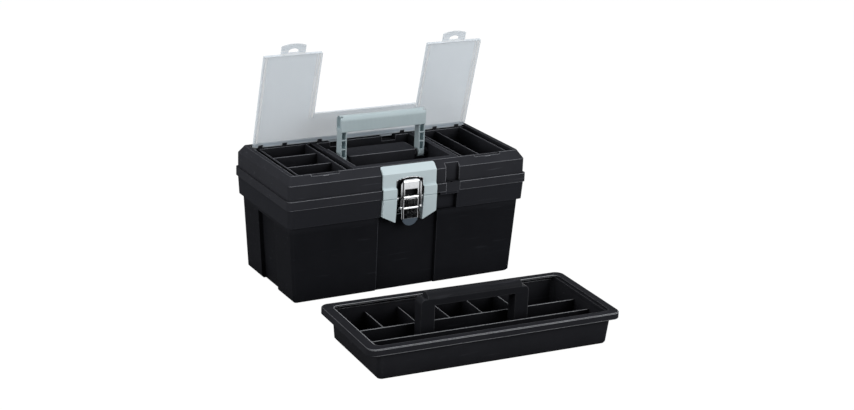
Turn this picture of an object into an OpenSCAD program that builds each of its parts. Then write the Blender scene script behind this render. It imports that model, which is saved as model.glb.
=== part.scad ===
// Hard tool case with a hinged lid, a clear organiser cover, a fold-down
// carry handle, a chromed draw latch and a loose lift-out tray.
// Millimetres, +Z up, front of the case faces -Y, z = 0 is the ground.

/* [Case] */
// Length over the band that runs round the parting line
case_l = 402; // [396:1:412]
// Depth over the same band, front to back
case_w = 197; // [195:1:199]
// Height of the parting line between tub and lid
part_z = 148; // [147:0.5:149]
// Wall thickness of the moulded shells
wall = 2.6; // [2.2:0.1:2.8]

/* [Organiser] */
// Height of the deck round the organiser
deck_z = 196.3; // [196:0.1:197]
// Height of the compartment floors
cell_z = 164; // [163:0.5:166]

/* [Cover] */
// How far the clear cover stands open
cover_open = 75.2; // [0:0.1:95]

/* [Handle] */
// Half the width of the carry handle over its legs
handle_x = 72; // [71:0.5:72.5]
// Height of the grip's top above the handle pivot
grip_h = 71; // [68:1:73]

/* [Tray] */
// Length over the tray rim
tray_l = 389.6; // [384:0.1:390]
// Depth over the tray rim
tray_w = 175.4; // [170:0.1:177]
// Height of the tray rim above its underside
tray_h = 48.5; // [46:0.5:50]

/* [Hidden] */
$fn = 48;

gap = 0.3;
// colours
black = [0.09, 0.09, 0.10];
grey = [0.66, 0.73, 0.76];
chrome = [0.78, 0.79, 0.81];
steel = [0.6, 0.61, 0.63];
clear = [0.80, 0.84, 0.87, 0.45];

// tub
base_l = 370; base_w = 177;
waist_l = case_l - 17; waist_w = case_w - 17;
collar_l = case_l - 4; collar_w = case_w - 2.5;
collar_z = 120;
front_y = -case_w / 2; rear_y = case_w / 2 + 2.5;
panel_x = 50;
grip_y = 30.5;
// lid
lid_z = part_z + gap;
band_z = 162; face_z = 184.5;
face_l = case_l - 5; face_w = case_w - 7;
deck_l = case_l - 19; deck_w = case_w - 29;
face_y = -face_w / 2; deck_rear = 90;
chamfer = atan2(deck_z - face_z, (face_w - deck_w) / 2);
hinge_y = rear_y + 4.5; hinge_r = 5; hinge_pin_r = 2;
hinge_x = 125;
// organiser
rest_z = deck_z - 2.5;
cell_x0 = 99; cell_x1 = 174; cell_y0 = -75; cell_y1 = 68;
well_x = 80; well_y0 = -72; well_y1 = 66; well_z = 172;
plinth_x = 58; plinth_z = 190;
// padlock eye
eye_x = 70; eye_y = front_y + 4.7; eye_r = 2.9; eye_back = front_y + 9.3;
notch_x0 = 60; notch_x1 = 83; plate_x = 9.5;
// cover
cov_y = 75; cov_z = deck_z + 0.9; cov_r = 3.2; rod_r = 1.7;
knuckles = [72, 131, 171];
cov_x = 184; cov_in = 89.3; cov_front = -80.5; bridge_y = 26;
cov_lo = rest_z + gap; cov_hi = cov_lo + 2;
tab_y = -86.5; tab_x = 136.5; tab_w = 40;
// handle
piv_y = 4.8; piv_z = 182; piv_r = 2.5; leg_w = 10; leg_in = handle_x - leg_w;
leg_y0 = -2.5; leg_y1 = 12; grip_z = 228.5;
// latch: a = lever pivot on the tub, b = link pivot on the lever
a_y = front_y + 2.1; a_z = 146.6; a_r = 1.8;
b_y = front_y - 2.3; b_z = 133; b_r = 1.6;
skin_y = front_y - 4.7; recess_y = front_y + 9.5; hook_z = 172; hook_r = 3.8;
slot_x = 22.5; latch_x = -2.5;
// tray
tray_pos = [-13.8, -310.5, 0]; tray_yaw = -2.6;
lip_z = tray_h - 9.5;
rib_y = [-25.2, 15.5]; rib_z = 32.5;

// ---------- shapes used by several pieces ----------
module rrect(l, w, r) {
    square([l - 2 * r, w], center = true);
    square([l, w - 2 * r], center = true);
    for (sx = [-1, 1], sy = [-1, 1])
        translate([sx * (l / 2 - r), sy * (w / 2 - r)]) circle(r);
}
module slab(l, w, r, z, h) translate([0, 0, z]) linear_extrude(h) rrect(l, w, r);
module thin(l, w, r, z) slab(l, w, r, z, 0.1, $fn = 32);
module box(a, b) translate(a) cube(b - a);
module rod_x(r, x0, x1, y, z)
    translate([x0, y, z]) rotate([0, 90, 0]) cylinder(r = r, h = x1 - x0);
// a profile drawn in (y, z), swept along x from x0 to x1
module along_x(x0, x1)
    translate([x0, 0, 0]) rotate([90, 0, 90]) linear_extrude(x1 - x0) children();
// a profile drawn in (x, z), swept along y from y0 back to y1
module along_y(y0, y1)
    translate([0, y1, 0]) rotate([90, 0, 0]) linear_extrude(y1 - y0) children();
module both_sides() { children(); mirror([1, 0, 0]) children(); }
// a slab between two depths, front y0 and rear y1
module deep(l, y0, y1, r, z, h) translate([0, (y0 + y1) / 2, 0]) slab(l, y1 - y0, r, z, h);
module at_latch() translate([latch_x, 0, 0]) children();

// ---------- tub ----------
module tub_taper() hull() {
    thin(base_l - 6, base_w - 6, 4, 0);
    thin(base_l, base_w, 5, 3);
    thin(waist_l + 1, waist_w + 1, 5, collar_z);
}
module tub_hollow(in = wall) hull() {
    thin(base_l - 2 * in - 3, base_w - 2 * in - 3, 4, 3);
    thin(base_l - 2 * in, base_w - 2 * in, 4, 5);
    thin(waist_l + 1 - 2 * in, waist_w + 1 - 2 * in, 4, collar_z);
}
// hand hold in each end and the flat panel below the latch, grown by t
module end_hold(t) both_sides() along_y(-grip_y - t, grip_y + t)
    polygon([[178 - t, -1], [185.8 - t, 111 + t], [210, 111 + t], [210, -1]]);
module front_panel(t) along_x(-panel_x - t, panel_x + t)
    polygon([[-83.5 + t, -1], [-85 + t, collar_z + t], [-110, collar_z + t], [-110, -1]]);
module tub_knuckles(r) both_sides() for (x = [hinge_x - 23, hinge_x + 11])
    rod_x(r, x, x + 12, hinge_y, part_z);

module tub_shell() color(black) difference() {
    union() {
        tub_taper();
        // collar, a little wider at the top
        hull() {
            thin(collar_l - 2, collar_w - 3.5, 6, collar_z);
            deep(collar_l, -collar_w / 2, rear_y - 3, 6, part_z - 3, 3, $fn = 32);
        }
        tub_knuckles(hinge_r);
        both_sides() for (x = [hinge_x - 23, hinge_x + 11])
            box([x, rear_y - 4, part_z - 12], [x + 12, hinge_y, part_z - 0.5]);
        // flange that carries the padlock eye
        box([48, front_y + 0.3, part_z - 4], [82, -88, part_z]);
    }
    // hollow, with the recesses standing into it
    difference() {
        union() {
            tub_hollow();
            slab(waist_l + 1 - 2 * wall, waist_w + 1 - 2 * wall, 4, collar_z - 1, wall + 2);
            slab(collar_l - 2 - 2 * wall, collar_w - 3.5 - 2 * wall, 5, collar_z + wall, 40);
        }
        end_hold(wall);
        front_panel(wall);
        box([-panel_x - wall, -101, collar_z], [panel_x + wall, recess_y + wall, 150]);
        box([46, -101, collar_z - 6], [82.6, eye_back + wall, 150]);
        // ledges the tray rim rests on
        both_sides() box([183, -62, 112], [200, 62, collar_z + wall]);
    }
    end_hold(0);
    front_panel(0);
    box([-panel_x, -101, collar_z - 1], [panel_x, recess_y, 150]);
    // room under the padlock eye, and the seat of its plate
    box([49, -101, collar_z + 0.1], [80, eye_back, part_z - 4]);
    box([eye_x - plate_x, -101, part_z - 5], [eye_x + plate_x, eye_back, part_z + 1]);
    rod_x(hinge_pin_r, -160, 160, hinge_y, part_z);
}

module tub_padlock_plate() color(black) difference() {
    box([eye_x - plate_x, front_y + 0.3, part_z - 4], [eye_x + plate_x, eye_back, part_z]);
    translate([eye_x, eye_y, 130]) cylinder(r = eye_r, h = 40);
}

module lid_hinge_pins() color(steel)
    both_sides() rod_x(hinge_pin_r, hinge_x - 23.6, hinge_x + 23.6, hinge_y, part_z);

// ---------- latch parts fixed to the tub ----------
module lower_latch_surround() color(grey) at_latch() difference() {
    along_y(front_y - 2.6, recess_y - 0.1)
        polygon([[-45, part_z - 0.5], [45, part_z - 0.5], [45.6, 121], [slot_x + 1, 109.5],
            [slot_x, 109.5], [slot_x, 119.5], [-slot_x, 119.5], [-slot_x, 109.5],
            [-slot_x - 1, 109.5], [-45.6, 121]]);
    box([-slot_x, -110, 100], [slot_x, recess_y - 1.9, 160]);
    // the face leans back towards its lower points
    along_x(-60, 60) polygon([[front_y - 2.6, part_z - 3], [-120, part_z - 3], [-120, 100],
        [front_y + 1.2, 100]]);
    // back of the two lower points, clear of the set-back wall
    box([-60, front_y + 6.5, 100], [60, -80, 120]);
    // room for the bracket rivets
    for (x = [-13, 13]) translate([x, -85, 126]) rotate([90, 0, 0]) cylinder(r = 2, h = 20);
}

module latch_bracket() color(chrome) at_latch() difference() {
    union() {
        box([-20.4, recess_y - 3, 121], [20.4, recess_y - 2, part_z - 0.4]);
        both_sides() {
            along_x(18.8, 20.4) {
                translate([a_y, a_z]) circle(3.3);
                polygon([[recess_y - 2.5, 124], [recess_y - 2.5, part_z - 0.4],
                    [a_y, part_z - 0.4], [a_y - 3, a_z - 1.4]]);
            }
        }
    }
    rod_x(a_r + 0.02, -30, 30, a_y, a_z);
    for (x = [-13, 13]) translate([x, -80, 126]) rotate([90, 0, 0]) cylinder(r = 2.02, h = 30);
}

module bracket_rivets() color(steel) at_latch() for (x = [-13, 13]) translate([x, 0, 126])
    rotate([90, 0, 0]) {
        translate([0, 0, 0.1 - recess_y]) cylinder(r = 2, h = 3);
        translate([0, 0, 3 - recess_y]) cylinder(r = 3.4, h = 1);
    }

module lever_pivot_pin() color(steel) at_latch() {
    rod_x(a_r, -21, 21, a_y, a_z);
    for (x = [-21.6, 20.5]) rod_x(2.7, x, x + 1.1, a_y, a_z);
}

// ---------- lid ----------
module lid_outer() union() {
    hull() {
        deep(face_l, face_y, rear_y - 2, 5, face_z - 0.1, 0.1, $fn = 32);
        deep(deck_l, -deck_w / 2, deck_rear, 4, deck_z - 0.1, 0.1, $fn = 32);
    }
    deep(face_l, face_y, rear_y - 2, 5, lid_z + 1, face_z - lid_z - 1.05, $fn = 32);
    deep(case_l, front_y, rear_y, 6, lid_z, band_z - lid_z);
}
module lid_hollow() hull() {
    deep(face_l - 2 * wall, face_y + wall, rear_y - 2 - wall, 4, lid_z - 2, 0.1, $fn = 32);
    deep(face_l - 2 * wall, face_y + wall, rear_y - 2 - wall, 4, face_z - 1, 0.1, $fn = 32);
    deep(deck_l - 2 * wall, wall - deck_w / 2, deck_rear - wall, 4, deck_z - wall, 0.1, $fn = 32);
}
// what the organiser fills inside the lid: cells, well and deck edge
module organiser_mass() {
    both_sides() box([cell_x0 - wall, cell_y0 - wall, cell_z - wall],
        [cell_x1 + wall, cell_y1 + wall, 200]);
    box([-187, -83.5, 183.6], [187, 83.5, 200]);
    difference() {
        box([-well_x - wall, well_y0 - wall, well_z - wall], [well_x + wall, well_y1 + wall, 200]);
        box([-plinth_x + wall, -4 + wall, 160], [plinth_x - wall, 38 - wall, plinth_z - wall]);
    }
}
module plinth() slab_at([0, 17], 2 * plinth_x, 42, 5, well_z - 0.5, plinth_z - well_z + 0.5);
module slab_at(c, l, w, r, z, h) translate([c[0], c[1], 0]) slab(l, w, r, z, h);

module lid_shell() color(black) difference() {
    union() {
        difference() {
            lid_outer();
            difference() {
                lid_hollow();
                organiser_mass();
                box([notch_x0 - wall, -101, lid_z - 3], [notch_x1 + wall, eye_back + wall, 200]);
            }
            // cover rest, lip grooves and compartments
            both_sides() {
                box([cov_in - 0.6, cov_front - 0.5, rest_z], [cov_x + 0.8, 80, 210]);
                box([cell_x1 + wall, cov_front - 0.5, 186], [cov_x + 0.8, 70, 210]);
                box([cov_in - 0.6, cov_front - 0.5, 186], [cell_x0 - wall, 70, 210]);
                box([cov_in - 0.6, cov_front - 0.5, 190], [cov_x + 0.8, cell_y0 - wall, 210]);
                box([cell_x0, cell_y0, cell_z], [cell_x1, cell_y1, 210]);
                // notch for the root of each cover tab
                box([tab_x - 22, -95, rest_z], [tab_x + 22, cov_front, 210]);
            }
            box([-cov_x, bridge_y - 1, rest_z], [cov_x, 80, 210]);
            box([-cov_x - 0.8, 70.4, rest_z - 0.8], [cov_x + 0.8, 80, 210]);
            // handle well
            difference() {
                box([-well_x, well_y0, well_z], [well_x, well_y1, 210]);
                plinth();
                both_sides() {
                    rod_x(6, well_x - 7, well_x + 1, piv_y, piv_z);
                    rod_x(6, plinth_x - 1, plinth_x + 3, piv_y, piv_z);
                }
            }
            // pockets for the two hooks at the cover's hinge edge
            both_sides() box([33, well_y1 - 1, 186], [57, 82, 210]);
        }
        // knuckles the cover snaps into
        both_sides() for (x = knuckles) {
            rod_x(3.4, x - 3.5, x + 3.5, cov_y, cov_z);
            box([x - 3.5, cov_y - 2.6, rest_z - 2], [x + 3.5, cov_y + 2.6, cov_z]);
        }
        // catches for the cover tabs, on the front chamfer
        both_sides() translate([tab_x, -deck_w / 2, deck_z]) rotate([chamfer, 0, 0])
            box([-4.5, -5.2, -1], [4.5, -4, 1]);
        // lid knuckles of the two rear hinges
        both_sides() {
            rod_x(hinge_r, hinge_x - 10.5, hinge_x + 10.5, hinge_y, part_z);
            box([hinge_x - 10.5, rear_y - 2, lid_z], [hinge_x + 10.5, hinge_y, part_z + 9]);
        }
    }
    tub_knuckles(hinge_r + 0.5);
    // latch slot through the band, room for the lever's pivot, the padlock notch
    at_latch() box([-slot_x, -101, lid_z - 1], [slot_x, -88, a_z + 3.8]);
    at_latch() box([-slot_x, -101, lid_z - 1], [slot_x, face_y, band_z + 1]);
    box([notch_x0, -101, lid_z - 1], [notch_x1, eye_back, 200]);
    rod_x(hinge_pin_r + 0.05, -160, 160, hinge_y, part_z);
    rod_x(rod_r + 0.06, -180, 180, cov_y, cov_z);
    both_sides() rod_x(piv_r + 0.02, plinth_x - 2, well_x + 4, piv_y, piv_z);
}

// section of the surround, standing t proud of the lid
module surround_section(t) polygon([[front_y - 0.1, lid_z], [front_y - t, lid_z],
    [front_y - t, band_z + 0.2], [face_y + 0.3 - t, band_z + 2.2], [face_y + 0.3 - t, face_z + 1],
    [-deck_w / 2 - 0.6 - t, deck_z - 0.4], [-deck_w / 2 - 1.6, deck_z - 1.7],
    [face_y - 0.1, face_z], [face_y - 0.1, band_z + 0.1], [front_y - 0.1, band_z + 0.1]]);
// slot with an arched top, drawn t smaller all round
module slot_arch(t) {
    translate([t - slot_x, 140]) square([2 * (slot_x - t), 32]);
    intersection() {
        translate([0, 164.2]) rrect(2 * (slot_x - t), 30 - 2 * t, 6 - t);
        translate([0, 117]) circle(62 - t, $fn = 192);
    }
}
module upper_latch_surround() color(grey) at_latch() difference() {
    intersection() {
        along_x(-45, 45) surround_section(2.6);
        along_y(-120, -70) translate([0, deck_z - 30.4]) rrect(90, 60, 3.5);
    }
    along_y(-120, -80) slot_arch(0);
}
module slot_trim() color(chrome) at_latch() intersection() {
    along_x(-slot_x, slot_x) surround_section(3.1);
    along_y(-120, -80) difference() {
        slot_arch(0);
        slot_arch(0.9);
    }
    box([-30, -120, 150.5], [30, -80, 190]);
}

module latch_keeper() color(chrome) at_latch() difference() {
    along_x(-11, 11) polygon([[face_y - 0.05, hook_z - 11], [face_y - 1.2, hook_z - 11],
        [face_y - 1.2, hook_z - 2.6], [face_y - 3.8, hook_z - 2.2], [face_y - 3.8, hook_z - 1],
        [face_y - 0.05, hook_z - 1]]);
    for (x = [-6.5, 6.5]) translate([x, -80, hook_z - 7]) rotate([90, 0, 0]) cylinder(r = 1.62, h = 30);
}
module keeper_rivets() color(steel) at_latch() for (x = [-6.5, 6.5]) translate([x, 0, hook_z - 7])
    rotate([90, 0, 0]) {
        translate([0, 0, -face_y]) cylinder(r = 1.6, h = 1.4);
        translate([0, 0, -face_y + 1.2]) cylinder(r = 2.6, h = 0.7);
    }

module lid_padlock_plate() color(black) difference() {
    box([notch_x0, front_y, lid_z], [notch_x1, eye_back, band_z]);
    translate([eye_x, eye_y, 140]) cylinder(r = eye_r, h = 40);
}

module left_dividers() color(black) for (y = [-27, 25])
    box([-cell_x1 + 0.15, y - 0.9, cell_z + 0.1], [-cell_x0 - 0.15, y + 0.9, 191.5]);
module right_divider() color(black)
    box([130.1, cell_y0 + 0.15, cell_z + 0.1], [131.9, cell_y1 - 0.15, 191.5]);

module handle_pivot_pins() color(steel)
    both_sides() rod_x(piv_r, plinth_x - 1.8, well_x + 3.8, piv_y, piv_z);

// ---------- carry handle ----------
module grip_profile(t) {
    translate([leg_y0 - 1 + t, grip_z + t]) square([16 - 2 * t, grip_h + piv_z - grip_z - 8 - t]);
    translate([leg_y0 + 7, piv_z + grip_h - 8]) circle(8 - t);
}
module carry_handle() color(grey) difference() {
    union() {
        difference() {
            both_sides() along_x(leg_in, handle_x) {
                translate([piv_y - 0.05, piv_z]) circle(7.25);
                translate([leg_y0, piv_z]) square([leg_y1 - leg_y0, grip_z - piv_z + 1]);
            }
            // front pockets between the cross ribs
            both_sides() for (z = [[188.5, 200.3], [202, 214.6], [216.3, grip_z - 0.6]])
                box([leg_in + 1.7, leg_y0 - 1, z[0]], [handle_x - 1.7, leg_y1 - 2.5, z[1]]);
        }
        along_x(-handle_x - 0.5, handle_x + 0.5) grip_profile(0);
    }
    // grip is hollow from below and dished at both ends
    box([-leg_in + 2, leg_y0 + 1.5, grip_z - 1], [leg_in - 2, leg_y1 - 1.5, 245]);
    both_sides() along_x(handle_x - 4, handle_x + 2) translate([0, 3]) intersection() {
        grip_profile(1.8);
        translate([-20, 225]) square([60, 24]);
    }
    both_sides() rod_x(piv_r + 0.05, leg_in - 1, handle_x + 1, piv_y, piv_z);
}

// ---------- clear cover, drawn closed and swung open about its hinge ----------
module swung() translate([0, cov_y, cov_z]) rotate([-cover_open, 0, 0])
    translate([0, -cov_y, -cov_z]) children();

module cover_closed() difference() {
    union() {
        difference() {
            box([-cov_x, cov_front, cov_lo], [cov_x, cov_y, cov_hi]);
            box([-cov_in, cov_front - 1, 180], [cov_in, bridge_y, 210]);
        }
        // lips round both panels
        both_sides() {
            box([cov_x - 1.6, cov_front, 190.6], [cov_x, 69, cov_lo + 0.5]);
            box([cov_in, cov_front, 190.6], [cov_in + 1.6, bridge_y + 6, cov_lo + 0.5]);
            box([cov_in, cov_front, 190.8], [cov_x, cov_front + 1.6, cov_lo + 0.5]);
            // second rib, set in from the long sides and behind the notch
            box([cov_x - 6.4, cov_front, 192], [cov_x - 5.2, 69, cov_lo + 0.5]);
            box([cov_in + 5.2, cov_front, 192], [cov_in + 6.4, bridge_y + 6, cov_lo + 0.5]);
            // root of the tab, over the front edge of the deck
            box([tab_x - tab_w / 2, tab_y + 0.2, cov_lo + 0.2], [tab_x + tab_w / 2, cov_front + 1, cov_hi]);
            // hook at the hinge edge
            box([34.5, cov_y + 1, cov_z - 1.2], [55.5, cov_y + 6.2, cov_z + 1]);
        }
        box([-cov_in, bridge_y, cov_lo], [cov_in, bridge_y + 1.6, cov_hi + 1.2]);
        box([-cov_in - 6, bridge_y + 5, cov_hi - 1], [cov_in + 6, bridge_y + 6.2, cov_hi + 0.6]);
        rod_x(cov_r, -cov_x + 3.5, cov_x - 3.5, cov_y, cov_z);
    }
    // gaps for the black knuckles
    both_sides() for (x = knuckles) {
        rod_x(4.1, x - 4.1, x + 4.1, cov_y, cov_z);
    }
    both_sides() tab_window();
}
// half-round window across the film hinge, for the catch on the lid
module tab_window() translate([tab_x, cov_front - 2.6, 190]) intersection() {
    translate([-8.2, -7, 0]) cube([16.4, 7, 10]);
    translate([0, 5.3, 0]) cylinder(r = 12, h = 10, $fn = 96);
}
module clear_cover() color(clear) swung() union() {
    cover_closed();
    rod_x(rod_r, -cov_x + 4, cov_x - 4, cov_y, cov_z);
}
module cover_tab() difference() {
    along_z(cov_lo + 0.3, cov_hi - 0.2) intersection() {
        translate([tab_x - tab_w / 2, tab_y - 11]) square([tab_w, 10.8]);
        translate([tab_x, tab_y + 49]) circle(60, $fn = 180);
    }
    tab_window();
}
module along_z(z0, z1) translate([0, 0, z0]) linear_extrude(z1 - z0) children();
module left_cover_tab() color(clear) swung() mirror([1, 0, 0]) cover_tab();
module right_cover_tab() color(clear) swung() cover_tab();

// ---------- draw latch ----------
module latch_lever() color(chrome) at_latch() difference() {
    union() {
        // pressed face with a raised bar and rolled sides
        box([-14.5, skin_y + 0.4, 115], [14.5, skin_y + 1.6, a_z - 0.4]);
        rod_x(1.4, -12.2, 12.2, skin_y + 0.9, 131.8);
        both_sides() translate([13.4, skin_y + 1.2, 115]) cylinder(r = 1.8, h = a_z - 115.4);
        // side flanges that carry both pivots
        both_sides() along_x(13.6, 15.2) {
            polygon([[skin_y + 0.6, 115], [skin_y + 0.6, a_z - 0.4], [a_y - 2.6, a_z - 0.4],
                [a_y, a_z - 2.9], [b_y + 3.2, b_z - 1], [skin_y + 4.5, 116]]);
            translate([a_y, a_z]) circle(2.9);
            translate([b_y, b_z]) circle(3);
        }
        // finger tab, set back a little
        translate([0, skin_y + 1.6, 115.5]) rotate([6, 0, 0]) along_y(-0.6, 0.6) {
            translate([-12.5, -5]) square([25, 5.6]);
            intersection() {
                translate([0, 0.6]) circle(12.8, $fn = 64);
                translate([-12.5, -14]) square([25, 10]);
            }
        }
    }
    rod_x(a_r + 0.05, -30, 30, a_y, a_z);
    rod_x(b_r + 0.02, -30, 30, b_y, b_z);
}
module link_pin() color(steel) at_latch() rod_x(b_r, -18.2, 18.2, b_y, b_z);

module latch_link() color(chrome) at_latch() difference() {
    intersection() {
        union() {
            // front skin and the curled hook that sits on the keeper
            box([-17.4, skin_y, 147.2], [17.4, skin_y + 1.2, hook_z]);
            along_x(-17.4, 17.4) translate([skin_y + hook_r, hook_z]) difference() {
                circle(hook_r);
                circle(hook_r - 1.2);
                translate([-6, -12]) square([12, 11.4]);
            }
            rod_x(1.5, -12.2, 12.2, skin_y + 0.9, 148.6);
            both_sides() along_x(15.9, 17.4) {
                translate([b_y, b_z]) circle(2.8);
                translate([skin_y, b_z]) square([4, hook_z - b_z]);
                polygon([[skin_y, 149], [skin_y + 4, 149], [skin_y + 2 * hook_r, 153],
                    [skin_y + 2 * hook_r, hook_z], [skin_y, hook_z]]);
                translate([skin_y + hook_r, hook_z]) circle(hook_r);
            }
        }
        // rounded shoulders seen from the front
        along_y(-120, -80) {
            translate([-17.4, 120]) square([34.8, 46.8]);
            translate([-9, 150]) square([18, 40]);
            for (s = [-1, 1]) translate([s * 8.4, 166.8]) circle(9);
        }
    }
    box([-10.8, -115, 150.6], [10.8, skin_y + 2, 161.4]);
    // pressed groove beside each rail
    both_sides() box([12.8, -115, 147], [14.6, skin_y + 0.5, 163]);
    rod_x(b_r + 0.05, -30, 30, b_y, b_z);
}

// ---------- tray ----------
module placed() translate(tray_pos) rotate([0, 0, tray_yaw]) children();
tray_bl = tray_l - 33.6; tray_bw = tray_w - 19.4;
module tray_wall(in, z0) translate([1.5, 0, 0]) hull() {
    thin(tray_bl - 2 * in - 4, tray_bw - 2 * in - 4, 6, z0);
    thin(tray_bl - 2 * in, tray_bw - 2 * in, 8 - in, z0 + 2.5);
    thin(tray_bl + 4 - 2 * in, tray_bw + 9 - 2 * in, 8 - in, lip_z + 2);
}
module tray_body() color(black) placed() difference() {
    union() {
        tray_wall(0, 0);
        slab(tray_l, tray_w, 13, lip_z, tray_h - 1.15 - lip_z, $fn = 32);
        hull() {
            thin(tray_l, tray_w, 13, tray_h - 1.2);
            thin(tray_l - 2, tray_w - 2, 12, tray_h - 0.1);
        }
    }
    difference() {
        tray_wall(2.4, 2.4);
        // two lengthwise ribs
        for (y = rib_y) box([-190, y - 0.9, 0], [190, y + 0.9, rib_z]);
    }
    translate([1.5, 0, 0]) {
        slab(tray_bl - 1.2, tray_bw + 3.4, 5, lip_z + 1, tray_h - 3.6 - lip_z);
        slab(tray_bl + 6, tray_bw - 5, 9, tray_h - 3, 10);
    }
    // the rim is hollow underneath at both ends
    both_sides() box([tray_bl / 2 + 7, -66, lip_z - 1], [tray_l / 2 - 2.6, 66, lip_z + 5]);
}
module tray_dividers() color(black) placed()
    for (x = [-127.8, -76.5, -25, 26.8, 78])
        along_x(x - 0.8, x + 0.8) polygon([[rib_y[1] + 1.1, 2.6], [tray_bw / 2 - 4.8, 2.6],
            [tray_bw / 2 - 2.7, 5.4], [tray_bw / 2 + 0.8, rib_z], [rib_y[1] + 1.1, rib_z]]);

module tray_handle() color(black) placed() translate([1, -2, 0]) difference() {
    union() {
        // half-round bar between two lower shoulders with rounded corners
        along_x(-74, 74) translate([0.5, 74]) circle(9.6);
        along_y(-9, 10) intersection() {
            translate([0, 66]) rrect(169, 20, 7);
            translate([-90, 66]) square([180, 20]);
        }
        both_sides() box([63, -9, 2.6], [84.5, 10, 68]);
    }
    both_sides() box([65.4, -6.6, 0], [82.1, 7.6, 62]);
    box([-61, -6.6, 60], [61, 7.6, 72]);
}

tub_shell();
lid_hinge_pins();
lower_latch_surround();
latch_bracket();
bracket_rivets();
lever_pivot_pin();
tub_padlock_plate();
lid_shell();
upper_latch_surround();
slot_trim();
latch_keeper();
keeper_rivets();
lid_padlock_plate();
left_dividers();
right_divider();
handle_pivot_pins();
carry_handle();
clear_cover();
left_cover_tab();
right_cover_tab();
latch_lever();
link_pin();
latch_link();
tray_body();
tray_dividers();
tray_handle();
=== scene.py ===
from math import cos, pi, radians, sin

import bmesh
import bpy
from mathutils import Matrix, Vector

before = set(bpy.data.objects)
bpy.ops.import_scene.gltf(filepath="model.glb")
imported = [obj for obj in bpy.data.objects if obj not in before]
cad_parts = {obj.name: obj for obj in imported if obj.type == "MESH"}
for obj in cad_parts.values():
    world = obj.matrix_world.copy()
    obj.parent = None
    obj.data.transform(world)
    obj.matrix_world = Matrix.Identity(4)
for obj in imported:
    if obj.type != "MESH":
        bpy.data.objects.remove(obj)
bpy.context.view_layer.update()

# ---------------------------------------------------------------------------
# Tub: one injection moulding in black polypropylene. The tool was spark-eroded,
# so the walls have a fine even grain, with a faint bloom and a few rub marks
# from use. Corners and rims are broken by about a millimetre.
# ---------------------------------------------------------------------------
def new_skin(name):
    """A new material, its node tree and its Principled node."""
    skin = bpy.data.materials.new(name)
    skin.use_nodes = True
    return skin, skin.node_tree, skin.node_tree.nodes["Principled BSDF"]


def fill(tree, node, inputs):
    """Give each of the node's inputs a value or another node's output."""
    for key, value in inputs.items():
        if isinstance(value, bpy.types.NodeSocket):
            tree.links.new(value, node.inputs[key])
        else:
            node.inputs[key].default_value = value


def add(tree, kind, inputs=None, **settings):
    """Add a shader node, set it up and fill its inputs."""
    node = tree.nodes.new("ShaderNode" + kind)
    for name, value in settings.items():
        setattr(node, name, value)
    fill(tree, node, inputs or {})
    return node


def ramp(tree, value, low, high, bottom=0.0, top=1.0):
    """Goes from bottom to top while the value goes from low to high."""
    return add(tree, "MapRange", {"Value": value, "From Min": low, "From Max": high,
                                  "To Min": bottom, "To Max": top}).outputs["Result"]


def combine(tree, operation, *values):
    """Result of a Math node."""
    return add(tree, "Math", dict(enumerate(values)), operation=operation).outputs["Value"]


def mix(tree, share, first, second):
    """The first colour where share is 0, and the second where it is 1."""
    first, second = (colour if isinstance(colour, bpy.types.NodeSocket) else (*colour, 1)
                     for colour in (first, second))
    return add(tree, "Mix", {"Factor": share, "A": first, "B": second},
               data_type="RGBA").outputs["Result"]


def relief(tree, height, strength, depth, edge):
    """Normal of the surface with its edges rounded to the radius edge, and a bump over it."""
    rounded = add(tree, "Bevel", {"Radius": edge}, samples=6).outputs["Normal"]
    return add(tree, "Bump", {"Strength": strength, "Distance": depth, "Height": height,
                              "Normal": rounded}).outputs["Normal"]


def lit_edges(tree, radius, reach, full_turn):
    """1 on the outer edges that get a painted highlight, and 0 on flat faces and inner corners.

    An edge counts fully where the rounded normal has turned until its cosine is full_turn, and
    an inner corner is one that has other surfaces within reach.
    """
    rounded = add(tree, "Bevel", {"Radius": radius}, samples=8).outputs["Normal"]
    plain = add(tree, "NewGeometry").outputs["Normal"]
    turn = add(tree, "VectorMath", {0: rounded, 1: plain}, operation="DOT_PRODUCT")
    sharp = ramp(tree, turn.outputs["Value"], 0.997, full_turn)
    open_side = add(tree, "AmbientOcclusion", {"Distance": reach}, samples=6).outputs["AO"]
    outer = ramp(tree, open_side, 0.72, 0.95)
    # painted highlight: only edges that face forward, up and to the right, towards the front
    # lamp, get it
    highlight_way = (0.45, -0.75, 0.48)
    facing = add(tree, "VectorMath", {0: rounded, 1: highlight_way}, operation="DOT_PRODUCT")
    toward_lamp = ramp(tree, facing.outputs["Value"], 0.05, 0.7)
    return combine(tree, "MULTIPLY", combine(tree, "MULTIPLY", sharp, outer), toward_lamp)


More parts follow.
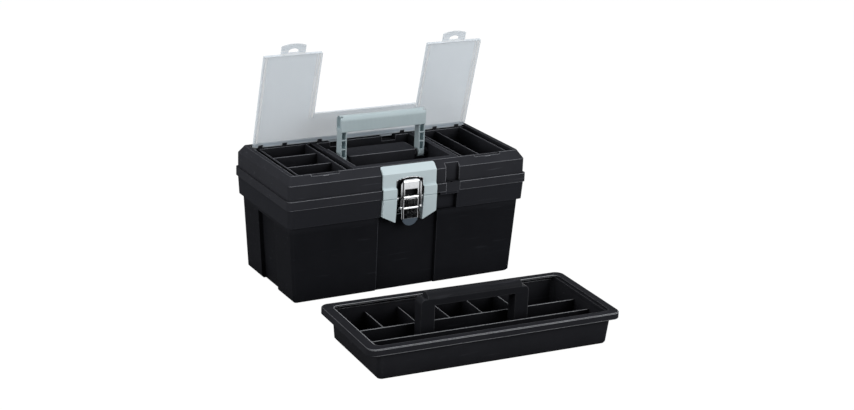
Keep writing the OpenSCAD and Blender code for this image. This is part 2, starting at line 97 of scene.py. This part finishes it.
def moulded_black(name, dark, bloom, glint, rough, gloss, grain, edge, painted_light_above=None):
    """Grained black plastic, patchy between the colours dark and bloom, with a painted highlight
    of the colour glint on its edges.

    grain is the spacing of its pits, edge the radius of its corners, and the last argument the
    height above which it is painted paler, as painted light from above, all in metres.
    """
    skin, tree, body = new_skin(name)
    place = add(tree, "TexCoord").outputs["Object"]

    # cloudy bloom that makes the black a little greyer in patches
    cloud = add(tree, "TexNoise", {"Vector": place, "Scale": 22, "Detail": 6,
                                   "Roughness": 0.62}).outputs["Fac"]
    colour = mix(tree, cloud, dark, bloom)

    if painted_light_above:
        # painted light: the upper part of the moulding is painted paler, as if more light fell on
        # it from above
        height = add(tree, "SeparateXYZ", {"Vector": place}).outputs["Z"]
        painted_top_light = ramp(tree, height, painted_light_above - 0.010, painted_light_above + 0.004, top=0.6)
        colour = mix(tree, painted_top_light, colour, [2.0 * part for part in bloom])

    # thin rub marks, stretched along the case
    stretched = add(tree, "Mapping", {"Vector": place, "Scale": (9, 60, 130),
                                      "Rotation": (0.1, 0.35, 0.2)}).outputs["Vector"]
    rubs = add(tree, "TexNoise", {"Vector": stretched, "Scale": 1.6, "Detail": 3}).outputs["Fac"]
    worn = ramp(tree, rubs, 0.64, 0.72, top=0.35)
    colour = mix(tree, worn, colour, [2.2 * part for part in bloom])

    # painted highlight on the outer edges that face the front lamp
    colour = mix(tree, lit_edges(tree, 1.2 * edge, reach=0.006, full_turn=0.95), colour, glint)

    # little light reaches the bottom of the narrow compartments
    open_side = add(tree, "AmbientOcclusion", {"Distance": 0.07}, samples=6).outputs["AO"]
    colour = mix(tree, ramp(tree, open_side, 0.15, 0.67, bottom=0.14), (0, 0, 0), colour)

    # spark-eroded grain over rounded edges
    pits = add(tree, "TexVoronoi", {"Vector": place, "Scale": 1 / grain}).outputs["Distance"]
    fill(tree, body, {"Base Color": colour, "Specular IOR Level": gloss,
                      "Roughness": ramp(tree, cloud, 0, 1, rough - 0.06, rough + 0.08),
                      "Normal": relief(tree, pits, 0.35, 0.25 * grain, edge)})
    return skin


def dress(skin, *names):
    """Give the named CAD nodes this material."""
    for name in names:
        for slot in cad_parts[name].material_slots:
            slot.material = skin


# painted highlight on its edges in glint, and painted light that makes the tub paler above 0.118
# m
case_black = moulded_black("case_black", (0.0092, 0.0096, 0.0117), (0.0150, 0.0157, 0.0187),
                           glint=(0.085, 0.090, 0.105), rough=0.5, gloss=0.002, grain=0.0007,
                           edge=0.0010, painted_light_above=0.118)
dress(case_black, "tub_shell", "tub_padlock_plate")

# ---------------------------------------------------------------------------
# Hinge and pivot pins, link pin and rivets: cold-headed steel with a dull zinc
# plate, driven in from the sides. A fine spangle changes their roughness.
# ---------------------------------------------------------------------------
zinc, tree, body = new_skin("zinc_plate")
spangle = add(tree, "TexNoise", {"Vector": add(tree, "TexCoord").outputs["Object"],
                                 "Scale": 700}).outputs["Fac"]
fill(tree, body, {"Metallic": 1, "Base Color": (0.55, 0.56, 0.58, 1),
                  "Roughness": ramp(tree, spangle, 0, 1, 0.25, 0.5)})
dress(zinc, "lid_hinge_pins", "bracket_rivets", "lever_pivot_pin", "keeper_rivets",
      "handle_pivot_pins", "link_pin")

# ---------------------------------------------------------------------------
# Latch surround: two light grey-blue polypropylene mouldings with a satin skin,
# pressed over the band. The carry handle further down is of the same plastic.
# ---------------------------------------------------------------------------
def satin_grey(name, pale, shade, rough, edge, line_gap=None):
    """Satin plastic, patchy between two colours, with corners of the radius edge.

    line_gap is the spacing of the fine upright lines that are cut into a ribbed piece.
    """
    skin, tree, body = new_skin(name)
    place = add(tree, "TexCoord").outputs["Object"]
    flow = add(tree, "TexNoise", {"Vector": place, "Scale": 35, "Detail": 5}).outputs["Fac"]
    orange_peel = add(tree, "TexNoise", {"Vector": place, "Scale": 900}).outputs["Fac"]
    normal = relief(tree, orange_peel, 0.2, 0.0002, edge)
    if line_gap:
        # Blender's wave texture repeats every 2 pi / 20 metres at scale 1
        lines = add(tree, "TexWave", {"Vector": place, "Scale": 2 * pi / 20 / line_gap})
        normal = add(tree, "Bump", {"Strength": 0.5, "Distance": 0.0004,
                                    "Height": lines.outputs["Fac"],
                                    "Normal": normal}).outputs["Normal"]
    fill(tree, body, {"Base Color": mix(tree, flow, shade, pale), "Specular IOR Level": 0.4,
                      "Roughness": ramp(tree, flow, 0, 1, rough - 0.06, rough + 0.08),
                      "Normal": normal})
    return skin


surround_grey = satin_grey("surround_grey", (0.645, 0.75, 0.785), (0.595, 0.705, 0.74),
                           rough=0.42, edge=0.0008)
dress(surround_grey, "lower_latch_surround", "upper_latch_surround")

# ---------------------------------------------------------------------------
# Draw latch: bracket, lever, link, keeper and slot trim pressed from steel sheet,
# then polished and bright nickel-chrome plated, with faint buffing lines.
# ---------------------------------------------------------------------------
bright, tree, body = new_skin("bright_chrome")
place = add(tree, "TexCoord").outputs["Object"]
axes = add(tree, "SeparateXYZ", {"Vector": place}).outputs

# buffing lines along the latch
buffed = add(tree, "Mapping", {"Vector": place, "Scale": (900, 400, 40)}).outputs["Vector"]
lines = add(tree, "TexNoise", {"Vector": buffed, "Scale": 0.7}).outputs["Fac"]

# The finger tab is left matt and painted a dark blue-grey, a painted reflection of the dark tray
# in front, and the grooves and flanges are painted near-black as painted shade and dark
# reflection. Each pair of values is where one of them fades in, by height, by distance from the
# latch's middle, or by depth.
latch_middle = -0.0025
tab_top = 0.1158, 0.1150
groove_inner, groove_outer = (0.0124, 0.0130), (0.0152, 0.0146)
flange_inner, flange_front = (0.0132, 0.0150), (-0.1035, -0.1020)
across = combine(tree, "ABSOLUTE", combine(tree, "SUBTRACT", axes["X"], latch_middle))
tab = ramp(tree, axes["Z"], *tab_top)
groove = combine(tree, "MULTIPLY", ramp(tree, across, *groove_inner),
                 ramp(tree, across, *groove_outer))
flange = combine(tree, "MULTIPLY", ramp(tree, across, *flange_inner),
                 ramp(tree, axes["Y"], *flange_front))
streaked = combine(tree, "MULTIPLY", flange, ramp(tree, lines, 0.36, 0.52))

# painted shade in the creases, added to the painted dark of the grooves and flanges
crease = add(tree, "AmbientOcclusion", {"Distance": 0.010}, samples=6).outputs["AO"]
painted_shade_and_reflection = combine(tree, "MAXIMUM", combine(tree, "MAXIMUM", groove, streaked),
               ramp(tree, crease, 0.85, 0.35))
# painted reflection: the finger tab's dark blue-grey; painted shade and reflection: the
# near-black of grooves, flanges and creases
plated = mix(tree, tab, (0.70, 0.71, 0.73), (0.085, 0.108, 0.135))
fill(tree, body, {"Metallic": 1, "Base Color": mix(tree, painted_shade_and_reflection, plated, (0.02, 0.021, 0.025)),
                  "Roughness": combine(tree, "MULTIPLY_ADD", tab, 0.45,
                                       ramp(tree, lines, 0, 1, top=0.18)),
                  "Normal": relief(tree, lines, 0.25, 0.0003, 0.0005)})
dress(bright, "latch_bracket", "latch_keeper", "latch_lever", "latch_link", "slot_trim")

# ---------------------------------------------------------------------------
# Lid with its two organiser compartments and the handle well: a second black
# moulding with the tub's grain, hinged to the tub at the rear. Its colours are painted
# paler than the tub's, as painted light from above, and its edges get a brighter painted
# highlight.
# ---------------------------------------------------------------------------
# painted light: these lid colours are paler than the tub's, as light from above
lid_dark, lid_bloom = (0.0255, 0.0265, 0.0315), (0.0390, 0.0402, 0.0465)
lid_black = moulded_black("lid_black", lid_dark, lid_bloom, glint=(0.360, 0.372, 0.405),
                          rough=0.48, gloss=0.003, grain=0.0007, edge=0.0010)
dress(lid_black, "lid_shell", "left_dividers", "right_divider")
# the padlock's plate is pressed in flush, so its edges get only a faint painted highlight
plate_black = moulded_black("plate_black", lid_dark, lid_bloom, glint=(0.032, 0.033, 0.039),
                            rough=0.48, gloss=0.003, grain=0.0007, edge=0.0004)
dress(plate_black, "lid_padlock_plate")

# ---------------------------------------------------------------------------
# Carry handle: one grey moulding, hollow from below, with ribbed legs and fine
# upright lines over the grip.
# ---------------------------------------------------------------------------
handle_grey = satin_grey("handle_grey", (0.49, 0.585, 0.615), (0.43, 0.525, 0.555),
                         rough=0.4, edge=0.0009, line_gap=0.0022)
dress(handle_grey, "carry_handle")

# ---------------------------------------------------------------------------
# Clear cover and its two closing tabs: translucent polypropylene, snapped over
# the lid's black knuckles. It is milky where it is thick, at the rib roots, which are also
# painted whiter against their shade, and it has a painted highlight on edges that face forward,
# up and to the right.
# ---------------------------------------------------------------------------
milky, tree, body = new_skin("milky_clear")
crevice = add(tree, "AmbientOcclusion", {"Distance": 0.005}, samples=8).outputs["AO"]
# milky at rib roots, painted lighter there against their shade, and a painted highlight on edges
# facing the front lamp
milky_and_highlit = combine(tree, "MAXIMUM", lit_edges(tree, 0.0012, reach=0.003, full_turn=0.93),
                ramp(tree, crevice, 0.84, 0.52))
haze = add(tree, "TexNoise", {"Vector": add(tree, "TexCoord").outputs["Object"],
                              "Scale": 60, "Detail": 5}).outputs["Fac"]
ripple = add(tree, "Bump", {"Strength": 0.15, "Distance": 0.0004, "Height": haze})
fill(tree, body, {"Base Color": mix(tree, milky_and_highlit, (0.68, 0.785, 0.88), (0.93, 0.97, 1.0)),
                  "Alpha": ramp(tree, milky_and_highlit, 0, 1, 0.6, 0.42), "Specular IOR Level": 0.4,
                  "Roughness": ramp(tree, haze, 0, 1, 0.22, 0.42),
                  "Normal": ripple.outputs["Normal"]})
dress(milky, "clear_cover", "left_cover_tab", "right_cover_tab")

# ---------------------------------------------------------------------------
# Lift-out tray: black polypropylene from a smoother tool, with a brighter painted
# highlight on its edges than the case. It has a rolled rim, two long ribs, cross walls and a
# handle.
# ---------------------------------------------------------------------------
# painted highlight: glint is the bright colour painted on the rim and wall edges
tray_black = moulded_black("tray_black", (0.0165, 0.0170, 0.0200), (0.0270, 0.0278, 0.0325),
                           glint=(0.620, 0.640, 0.670), rough=0.36, gloss=0.001, grain=0.0006,
                           edge=0.0010)
dress(tray_black, "tray_body", "tray_dividers")
# the tray's handle gets only a faint painted highlight on its edges
tray_handle_black = moulded_black("tray_handle_black", (0.0120, 0.0125, 0.0148), (0.0195, 0.0203, 0.0240),
                           glint=(0.060, 0.062, 0.068), rough=0.36, gloss=0.02, grain=0.0006,
                           edge=0.0016)
dress(tray_handle_black, "tray_handle")

# ---------------------------------------------------------------------------
# Plain pale floor: matt paper that bounces a little light onto the case. To the
# camera, in reflections and through the cover it is plain white.
# ---------------------------------------------------------------------------
def seen(tree):
    """1 for rays from the camera, a reflection or the cover, and 0 for rays that gather light."""
    ray = add(tree, "LightPath").outputs
    direct = combine(tree, "MAXIMUM", ray["Is Camera Ray"], ray["Is Glossy Ray"])
    return combine(tree, "MAXIMUM", direct, ray["Is Transmission Ray"])


ground = bmesh.new()
bmesh.ops.create_grid(ground, x_segments=2, y_segments=2, size=6)
floor_mesh = bpy.data.meshes.new("floor")
ground.to_mesh(floor_mesh)
ground.free()
floor = bpy.data.objects.new("floor", floor_mesh)
bpy.context.scene.collection.objects.link(floor)
paper, tree, matt = new_skin("white_paper")
fill(tree, matt, {"Base Color": (0.45, 0.45, 0.45, 1), "Roughness": 0.9,
                  "Specular IOR Level": 0.1})
glow = add(tree, "Emission", {"Strength": 1.06})
# a little of the paper is left in view, for the shadows under the case and the tray
lit_paper = add(tree, "MixShader", {"Fac": combine(tree, "MULTIPLY", seen(tree), 0.94),
                                    1: matt.outputs["BSDF"], 2: glow.outputs["Emission"]})
fill(tree, tree.nodes["Material Output"], {"Surface": lit_paper.outputs["Shader"]})
floor_mesh.materials.append(paper)

# ---------------------------------------------------------------------------
# Studio: soft panels overhead, at the front right and at the left, in a faint
# even surround that the camera, reflections and the cover see as white.
# ---------------------------------------------------------------------------
room = bpy.data.worlds.new("studio")
room.use_nodes = True
tree = room.node_tree
even = tree.nodes["Background"]
fill(tree, even, {"Color": (1, 1, 1, 1), "Strength": 0.16})
white = add(tree, "Background", {"Color": (1, 1, 1, 1), "Strength": 1.0})
surround = add(tree, "MixShader", {"Fac": seen(tree), 1: even.outputs["Background"],
                                   2: white.outputs["Background"]})
fill(tree, tree.nodes["World Output"], {"Surface": surround.outputs["Shader"]})
bpy.context.scene.world = room

for name, spot, aim, size, watts in [
        ("overhead_panel", (-0.3, 0.2, 2.0), (0, -0.1, 0.1), 1.6, 18),
        ("front_panel", (1.3, -2.2, 1.3), (0, -0.1, 0.12), 2.0, 43),
        ("left_panel", (-2.4, -0.5, 0.9), (0, 0, 0.15), 1.2, 22)]:
    panel = bpy.data.lights.new(name, "AREA")
    panel.size = size
    panel.energy = watts
    holder = bpy.data.objects.new(name, panel)
    holder.location = spot
    holder.rotation_euler = (Vector(aim) - Vector(spot)).to_track_quat("-Z", "Y").to_euler()
    bpy.context.scene.collection.objects.link(holder)

# ---------------------------------------------------------------------------
# Camera: where the photographer stood, in front of the case, to its left and a
# little above it. Its place and lens are fitted to 28 points of the photograph.
# ---------------------------------------------------------------------------
turn, tilt, roll = radians(29.1875), radians(18.2081), radians(2.2893)
target, away = Vector((0.052052, -0.054505, 0.114418)), 2.56138
back = Vector((-sin(turn) * cos(tilt), -cos(turn) * cos(tilt), sin(tilt)))
right = Vector((0, 0, 1)).cross(back).normalized()
up = back.cross(right)
right, up = cos(roll) * right + sin(roll) * up, cos(roll) * up - sin(roll) * right
lens = bpy.data.cameras.new("camera")
lens.sensor_width = 36
lens.lens = 70.306
lens.clip_end = 50
camera = bpy.data.objects.new("camera", lens)
camera.matrix_world = Matrix.Translation(target + away * back) @ Matrix(
    (right, up, back)).transposed().to_4x4()
bpy.context.scene.collection.objects.link(camera)
bpy.context.scene.camera = camera
bpy.context.scene.view_settings.view_transform = "Standard"
